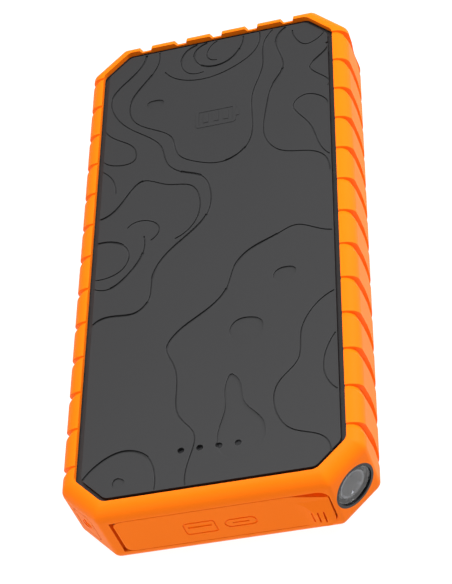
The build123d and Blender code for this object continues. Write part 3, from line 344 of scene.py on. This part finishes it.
# %% Clear torch cover
def clear_cover(name):
    """Clear plastic with a faint haze of fine scratches."""
    material = bpy.data.materials.new(name)
    material.use_nodes = True
    tree = material.node_tree
    shader = tree.nodes["Principled BSDF"]
    shader.inputs["Base Color"].default_value = (0.93, 0.95, 0.97, 1)
    shader.inputs["Transmission Weight"].default_value = 1.0
    shader.inputs["IOR"].default_value = 1.46
    shader.inputs["Specular IOR Level"].default_value = 0.5
    haze = maths(tree, "MULTIPLY", noise(tree, 900.0, 4.0, 0.7), 0.04)
    tree.links.new(haze, shader.inputs["Roughness"])
    return material


finishes["clear_lens"] = clear_cover("clear torch cover")

# %% Inner finishes
finishes["cell_foil"] = finish(
    "pouch foil", linear(188, 190, 194), linear(168, 170, 176), linear(214, 214, 216), 0.34, 0.12,
    metallic=0.9, grain=420.0, bump=0.35, bump_size=0.0001, wear=0.3,
)
finishes["nickel"] = finish(
    "nickel strip", linear(200, 196, 184), linear(180, 176, 166), linear(222, 220, 212), 0.3, metallic=1.0,
)
finishes["adhesive_pad"] = finish(
    "dark sheet", linear(44, 44, 48), linear(36, 36, 40), linear(64, 64, 66), 0.6,
)
finishes["foam"] = finish(
    "closed-cell foam", linear(54, 54, 58), linear(44, 44, 48), linear(70, 70, 72), 0.85, grain=1500.0,
    bump=0.5, bump_size=0.0001, wear=0.1,
)
finishes["circuit_green"] = finish(
    "green solder mask", linear(18, 92, 52), linear(12, 76, 42), linear(150, 150, 96), 0.34, 0.08,
    grain=1100.0, bump=0.12, wear=0.3, coat=0.3,
)
finishes["board_white"] = finish(
    "white solder mask", linear(226, 226, 222), linear(212, 212, 208), linear(200, 196, 180), 0.4,
)
finishes["chip_black"] = finish(
    "chip package", linear(38, 38, 40), linear(30, 30, 32), linear(66, 66, 68), 0.55, grain=3800.0,
    bump=0.3,
)
finishes["port_steel"] = finish(
    "plated port steel", linear(202, 204, 208), linear(180, 182, 188), linear(232, 232, 234), 0.26, 0.12,
    metallic=1.0, grain=2400.0, bump=0.1, wear=0.6,
)
finishes["tongue_plastic"] = finish(
    "port tongue", linear(30, 30, 32), linear(24, 24, 26), linear(56, 56, 58), 0.45,
)
finishes["ferrite"] = finish(
    "pressed ferrite", linear(86, 86, 88), linear(70, 70, 74), linear(120, 120, 120), 0.6,
    grain=2200.0, bump=0.5,
)
finishes["can_aluminium"] = finish(
    "drawn can", linear(206, 207, 210), linear(186, 188, 192), linear(228, 228, 230), 0.28,
    metallic=1.0,
)
finishes["ceramic_tan"] = finish(
    "ceramic body", linear(150, 116, 80), linear(130, 98, 66), linear(206, 206, 206), 0.42,
    wear=0.9,
)
finishes["connector_white"] = finish(
    "connector nylon", linear(228, 224, 210), linear(214, 208, 192), linear(240, 238, 230), 0.5,
)
finishes["wire_red"] = finish(
    "red wire", linear(176, 28, 22), linear(156, 20, 16), linear(206, 70, 60), 0.38, coat=0.2,
)
finishes["wire_black"] = finish(
    "black wire", linear(32, 32, 33), linear(26, 26, 27), linear(60, 60, 62), 0.38, coat=0.2,
)
finishes["led_white"] = finish(
    "small lamp", linear(232, 234, 236), linear(220, 222, 226), linear(240, 240, 240), 0.3,
    coat=0.5,
)
finishes["led_yellow"] = finish(
    "phosphor lamp", linear(236, 214, 96), linear(226, 200, 76), linear(240, 230, 160), 0.25,
    coat=0.6,
)
finishes["ribbon_amber"] = finish(
    "amber film", linear(196, 128, 42), linear(176, 110, 30), linear(214, 160, 80), 0.25, coat=0.5,
)
finishes["plunger_plastic"] = finish(
    "plunger plastic", linear(70, 70, 74), linear(60, 60, 64), linear(96, 96, 98), 0.45,
)

# %% Give every carried-over node its finish
slot_of = {entry["node"]: entry["material_slot"] for entry in frame["record"]["subparts"]}
for node_name, node_object in frame["nodes"].items():
    node_object.data.materials.clear()
    node_object.data.materials.append(finishes[slot_of[node_name]])
print("nodes dressed", len(slot_of))

# %% [markdown]
# ## Port contacts
# A plug touches thin gold-plated springs that lie on the tongue of its port. Each is a strip
# with a rounded front end that dips into the plastic. One strip is shaped from a block: its
# front edge is drawn in and its long edges are bevelled, and then it is copied along the tongue.


# %% Shaping one contact strip
def move_corners(piece, keep, shift):
    """Move the corners of a mesh that a test picks, in edit mode."""
    for corner in piece.data.vertices:
        corner.select = keep(corner.co)
    for edge in piece.data.edges:
        edge.select = all(piece.data.vertices[index].select for index in edge.vertices)
    for face in piece.data.polygons:
        face.select = all(piece.data.vertices[index].select for index in face.vertices)
    bpy.ops.object.mode_set(mode="EDIT")
    bpy.ops.transform.translate(value=shift)
    bpy.ops.object.mode_set(mode="OBJECT")


def contact_strip(name, place, width, length, thick, facing):
    """Contact strip that starts at a front place and runs back; facing is 1 for up and -1 for down."""
    clear_selection()
    middle = (place[0], place[1] + length / 2, place[2] + facing * thick / 2)
    bpy.ops.mesh.primitive_cube_add(size=1, location=middle)
    strip = bpy.context.object
    strip.name = name
    strip.scale = (width, length, thick)
    bpy.ops.object.transform_apply(location=True, rotation=True, scale=True)
    bpy.ops.object.mode_set(mode="EDIT")
    bpy.ops.mesh.select_all(action="SELECT")
    bpy.ops.mesh.subdivide(number_cuts=3)
    bpy.ops.object.mode_set(mode="OBJECT")
    outer = place[2] + facing * thick
    front = place[1]
    move_corners(
        strip,
        lambda spot: abs(spot.y - front) < length / 100 and abs(spot.z - outer) < thick / 3,
        (0, length / 40, -facing * thick * 0.7),
    )
    rounding_step = strip.modifiers.new("softened edges", "BEVEL")
    rounding_step.width = thick * 0.3
    rounding_step.segments = 2
    rounding_step.limit_method = "ANGLE"
    bpy.ops.object.modifier_apply(modifier=rounding_step.name)
    return strip


def copy_along(piece, shifts):
    """Copies of a finished mesh moved by each shift and joined with it into one piece."""
    copies = []
    for shift in shifts:
        twin = piece.copy()
        twin.data = piece.data.copy()
        twin.data.transform(Matrix.Translation(shift))
        bpy.context.scene.collection.objects.link(twin)
        copies.append(twin)
    clear_selection()
    for twin in [piece, *copies]:
        twin.select_set(True)
    bpy.context.view_layer.objects.active = piece
    bpy.ops.object.join()
    return piece


# %% Contacts of the two wide ports
finishes["contact_gold"] = finish(
    "gold plated contact", linear(226, 178, 84), linear(206, 156, 62), linear(236, 214, 150), 0.24, 0.08,
    metallic=1.0, grain=3600.0, bump=0.06, wear=0.5,
)
wide_low, wide_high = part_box("wide_port_tongues")
tongue_width = 0.011
tongue_half_t = 0.0009
wide_contact_w, wide_contact_l, wide_contact_t = 0.001, 0.0085, 0.00012
tongue_middle_z = (wide_low[2] + wide_high[2]) / 2
wide_places = (wide_low[0] + tongue_width / 2, wide_high[0] - tongue_width / 2)
wide_pitches = (-0.0035, -0.001, 0.001, 0.0035)
wide_front = (wide_places[0] + wide_pitches[0], wide_low[1] + 0.0008, tongue_middle_z - tongue_half_t)
wide_contacts = contact_strip(
    "wide_port_contacts", wide_front, wide_contact_w, wide_contact_l, wide_contact_t, -1
)
wide_shifts = [
    (place + pitch - wide_front[0], 0, 0)
    for place in wide_places
    for pitch in wide_pitches
    if abs(place + pitch - wide_front[0]) > 1e-6
]
copy_along(wide_contacts, wide_shifts)
wide_contacts.data.materials.append(finishes["contact_gold"])
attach(wide_contacts, "body")
print("wide contacts", len(wide_contacts.data.polygons), "faces")

# %% Contacts of the slim port, on both sides of its tongue
slim_low, slim_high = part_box("slim_port_tongue")
slim_middle = ((slim_low[0] + slim_high[0]) / 2, (slim_low[2] + slim_high[2]) / 2)
slim_half_t = 0.00035
slim_pitch = 0.0005
slim_count = 12
slim_contact_w, slim_contact_l, slim_contact_t = 0.00026, 0.0036, 0.00007
slim_rows = []
for side, facing in (("upper", 1), ("lower", -1)):
    first_x = slim_middle[0] - (slim_count - 1) / 2 * slim_pitch
    first = (first_x, slim_low[1] + 0.0004, slim_middle[1] + facing * slim_half_t)
    row = contact_strip(
        "slim_port_contacts_" + side, first, slim_contact_w, slim_contact_l, slim_contact_t, facing
    )
    copy_along(row, [(slim_pitch * step, 0, 0) for step in range(1, slim_count)])
    row.data.materials.append(finishes["contact_gold"])
    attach(row, "body")
    slim_rows.append(row)
print("slim contacts", [row.name for row in slim_rows])
